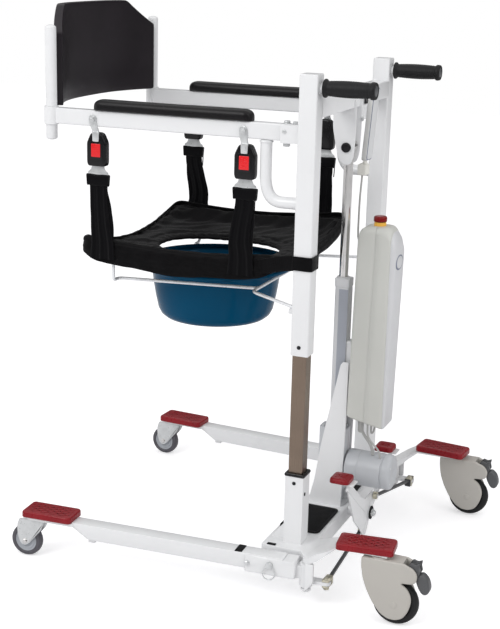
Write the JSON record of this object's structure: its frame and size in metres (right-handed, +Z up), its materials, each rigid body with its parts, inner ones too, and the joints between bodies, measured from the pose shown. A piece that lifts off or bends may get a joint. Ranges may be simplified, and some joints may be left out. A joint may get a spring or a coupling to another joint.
{
  "type": "mobile patient lift",
  "caption": "Wheeled sit-on patient lift: twin telescoping masts with an actuator carry arm rails, a backrest and a strapped sling seat over a pan.",
  "frame": {"origin": "on the floor, midway between the two masts", "axes": "+X from the masts towards the seat and backrest, +Y to the side of the rocker's higher pedal, +Z up"},
  "size_m": [0.9937, 0.8224, 1.252],
  "materials": {
    "white_paint": "white powder coat, satin",
    "stainless": "ground and polished tube",
    "black_rubber": "matt moulded rubber",
    "black_tyre": "smooth caster tread, matt",
    "grey_rubber": "grey non-marking tread",
    "black_plastic": "moulded, satin",
    "black_skin": "integral-skin foam, smooth sheen",
    "red_plastic": "moulded dark red, satin",
    "red_button": "gloss",
    "blue_plastic": "moulded, glossy",
    "warm_grey": "moulded, satin",
    "zinc": "bright zinc plate",
    "grey_housing": "moulded, fine texture",
    "black_fabric": "woven, padded"
  },
  "bodies": {
    "base": {"base_frame": "white_paint", "inner_column_left": "stainless", "inner_column_right": "stainless", "column_collar_left": "black_plastic", "column_collar_right": "black_plastic", "foot_mat_left": "black_rubber", "foot_mat_right": "black_rubber", "caster_cover_rear_left": "red_plastic", "caster_cover_rear_right": "red_plastic", "actuator_body": "grey_housing", "control_box": "grey_housing", "actuator_cable": "black_plastic", "handset_cord": "black_plastic"},
    "lift": {"lift_frame": "white_paint", "arm_rail_left": "white_paint", "arm_rail_right": "white_paint", "arm_pad_left": "black_skin", "arm_pad_right": "black_skin", "push_grip_left": "black_rubber", "push_grip_right": "black_rubber", "actuator_rod": "stainless", "buckle_front_left": "black_plastic", "buckle_front_right": "black_plastic", "buckle_rear_left": "black_plastic", "buckle_rear_right": "black_plastic", "sling": "black_fabric", "pan_carrier": "zinc", "handset": "grey_housing", "handset_holder": "black_plastic"},
    "backrest": {"backrest_panel": "black_skin", "backrest_frame": "white_paint"},
    "pan": {"pan": "blue_plastic"},
    "stop_button": {"stop_button": "red_button"},
    "rocker": {"spreader_rocker": "white_paint", "pedal_pad_left": "red_plastic", "pedal_pad_right": "red_plastic"},
    "leg_left": {"leg_left": "white_paint", "leg_hinge_left": "white_paint", "caster_cover_front_left": "red_plastic"},
    "tie_left": {"tie_rod_left": "zinc"},
    "lock_pin_left": {"lock_pin_left": "zinc"},
    "front_fork_left": {"front_caster_fork_left": "zinc"},
    "front_wheel_left": {"front_caster_wheel_left": "grey_rubber"},
    "rear_fork_left": {"rear_caster_fork_left": "warm_grey"},
    "rear_wheel_left": {"rear_caster_wheel_left": "black_tyre"},
    "brake_left": {"rear_brake_pedal_left": "black_plastic"},
    "release_front_left": {"release_button_front_left": "red_button"},
    "release_rear_left": {"release_button_rear_left": "red_button"},
    "leg_right": {"leg_right": "white_paint", "leg_hinge_right": "white_paint", "caster_cover_front_right": "red_plastic"},
    "tie_right": {"tie_rod_right": "zinc"},
    "lock_pin_right": {"lock_pin_right": "zinc"},
    "front_fork_right": {"front_caster_fork_right": "zinc"},
    "front_wheel_right": {"front_caster_wheel_right": "grey_rubber"},
    "rear_fork_right": {"rear_caster_fork_right": "warm_grey"},
    "rear_wheel_right": {"rear_caster_wheel_right": "black_tyre"},
    "brake_right": {"rear_brake_pedal_right": "black_plastic"},
    "release_front_right": {"release_button_front_right": "red_button"},
    "release_rear_right": {"release_button_rear_right": "red_button"}
  },
  "joints": [
    {"name": "lift_slide", "type": "slide", "parent": "base", "child": "lift", "axis": [0, 0, 1], "range_m": [-0.23, 0.04], "deforming": ["handset_cord"]},
    {"name": "backrest_lift_out", "type": "slide", "parent": "lift", "child": "backrest", "axis": [0, 0, 1], "range_m": [0, 0.07]},
    {"name": "pan_slide", "type": "slide", "parent": "lift", "child": "pan", "axis": [1, 0, 0], "range_m": [0, 0.15]},
    {"name": "stop_button_press", "type": "slide", "parent": "base", "child": "stop_button", "axis": [0, 0, -1], "range_m": [0, 0.005]},
    {"name": "rocker_tilt", "type": "hinge", "parent": "base", "child": "rocker", "pos_m": [-0.094, 0, 0.096], "axis": [1, 0, 0], "range_deg": [-7, 3.9]},
    {"name": "leg_left_spread", "type": "hinge", "parent": "base", "child": "leg_left", "pos_m": [-0.057, 0.33, 0.07], "axis": [0, 0, 1], "range_deg": [-3.39, 6.05]},
    {"name": "tie_left_swing", "type": "hinge", "parent": "rocker", "child": "tie_left", "pos_m": [-0.0826, 0.024, 0.057], "axis": [1, 0, 0], "range_deg": [-4.26, 7.6]},
    {"name": "lock_pin_left_pull", "type": "slide", "parent": "leg_left", "child": "lock_pin_left", "axis": [-0.0593, 0.9982, 0], "range_m": [0, 0.01], "stiffness_N_per_m": 400},
    {"name": "front_fork_left_swivel", "type": "hinge", "parent": "leg_left", "child": "front_fork_left", "pos_m": [0.59685, 0.36885, 0.085], "axis": [0, 0, 1], "continuous": true},
    {"name": "front_wheel_left_roll", "type": "hinge", "parent": "front_fork_left", "child": "front_wheel_left", "pos_m": [0.61981, 0.37021, 0.038], "axis": [-0.0593, 0.9982, 0], "continuous": true},
    {"name": "rear_fork_left_swivel", "type": "hinge", "parent": "base", "child": "rear_fork_left", "pos_m": [-0.22, 0.324, 0.14], "axis": [0, 0, 1], "continuous": true},
    {"name": "rear_wheel_left_roll", "type": "hinge", "parent": "rear_fork_left", "child": "rear_wheel_left", "pos_m": [-0.2585, 0.324, 0.05], "axis": [0, 1, 0], "continuous": true},
    {"name": "brake_left_press", "type": "hinge", "parent": "rear_fork_left", "child": "brake_left", "pos_m": [-0.287, 0.324, 0.112], "axis": [0, -1, 0], "range_deg": [0, 10]},
    {"name": "release_front_left_press", "type": "slide", "parent": "lift", "child": "release_front_left", "axis": [0, -1, 0], "range_m": [0, 0.003], "stiffness_N_per_m": 500},
    {"name": "release_rear_left_press", "type": "slide", "parent": "lift", "child": "release_rear_left", "axis": [0, -1, 0], "range_m": [0, 0.003], "stiffness_N_per_m": 500},
    {"name": "leg_right_spread", "type": "hinge", "parent": "base", "child": "leg_right", "pos_m": [-0.057, -0.33, 0.07], "axis": [0, 0, 1], "range_deg": [-6.05, 3.39]},
    {"name": "tie_right_swing", "type": "hinge", "parent": "rocker", "child": "tie_right", "pos_m": [-0.0994, -0.028, 0.1288], "axis": [1, 0, 0], "range_deg": [-4.31, 7.7]},
    {"name": "lock_pin_right_pull", "type": "slide", "parent": "leg_right", "child": "lock_pin_right", "axis": [-0.0593, -0.9982, 0], "range_m": [0, 0.01], "stiffness_N_per_m": 400},
    {"name": "front_fork_right_swivel", "type": "hinge", "parent": "leg_right", "child": "front_fork_right", "pos_m": [0.59685, -0.36885, 0.085], "axis": [0, 0, 1], "continuous": true},
    {"name": "front_wheel_right_roll", "type": "hinge", "parent": "front_fork_right", "child": "front_wheel_right", "pos_m": [0.61981, -0.37021, 0.038], "axis": [0.0593, 0.9982, 0], "continuous": true},
    {"name": "rear_fork_right_swivel", "type": "hinge", "parent": "base", "child": "rear_fork_right", "pos_m": [-0.22, -0.324, 0.14], "axis": [0, 0, 1], "continuous": true},
    {"name": "rear_wheel_right_roll", "type": "hinge", "parent": "rear_fork_right", "child": "rear_wheel_right", "pos_m": [-0.2585, -0.324, 0.05], "axis": [0, 1, 0], "continuous": true},
    {"name": "brake_right_press", "type": "hinge", "parent": "rear_fork_right", "child": "brake_right", "pos_m": [-0.287, -0.324, 0.112], "axis": [0, -1, 0], "range_deg": [0, 10]},
    {"name": "release_front_right_press", "type": "slide", "parent": "lift", "child": "release_front_right", "axis": [0, 1, 0], "range_m": [0, 0.003], "stiffness_N_per_m": 500},
    {"name": "release_rear_right_press", "type": "slide", "parent": "lift", "child": "release_rear_right", "axis": [0, 1, 0], "range_m": [0, 0.003], "stiffness_N_per_m": 500}
  ],
  "couplings": [
    {"joint": "leg_left_spread", "follows": "rocker_tilt", "ratio": -0.8575},
    {"joint": "tie_left_swing", "follows": "rocker_tilt", "ratio": -1.0784},
    {"joint": "leg_right_spread", "follows": "rocker_tilt", "ratio": 0.8572},
    {"joint": "tie_right_swing", "follows": "rocker_tilt", "ratio": -1.0929}
  ]
}
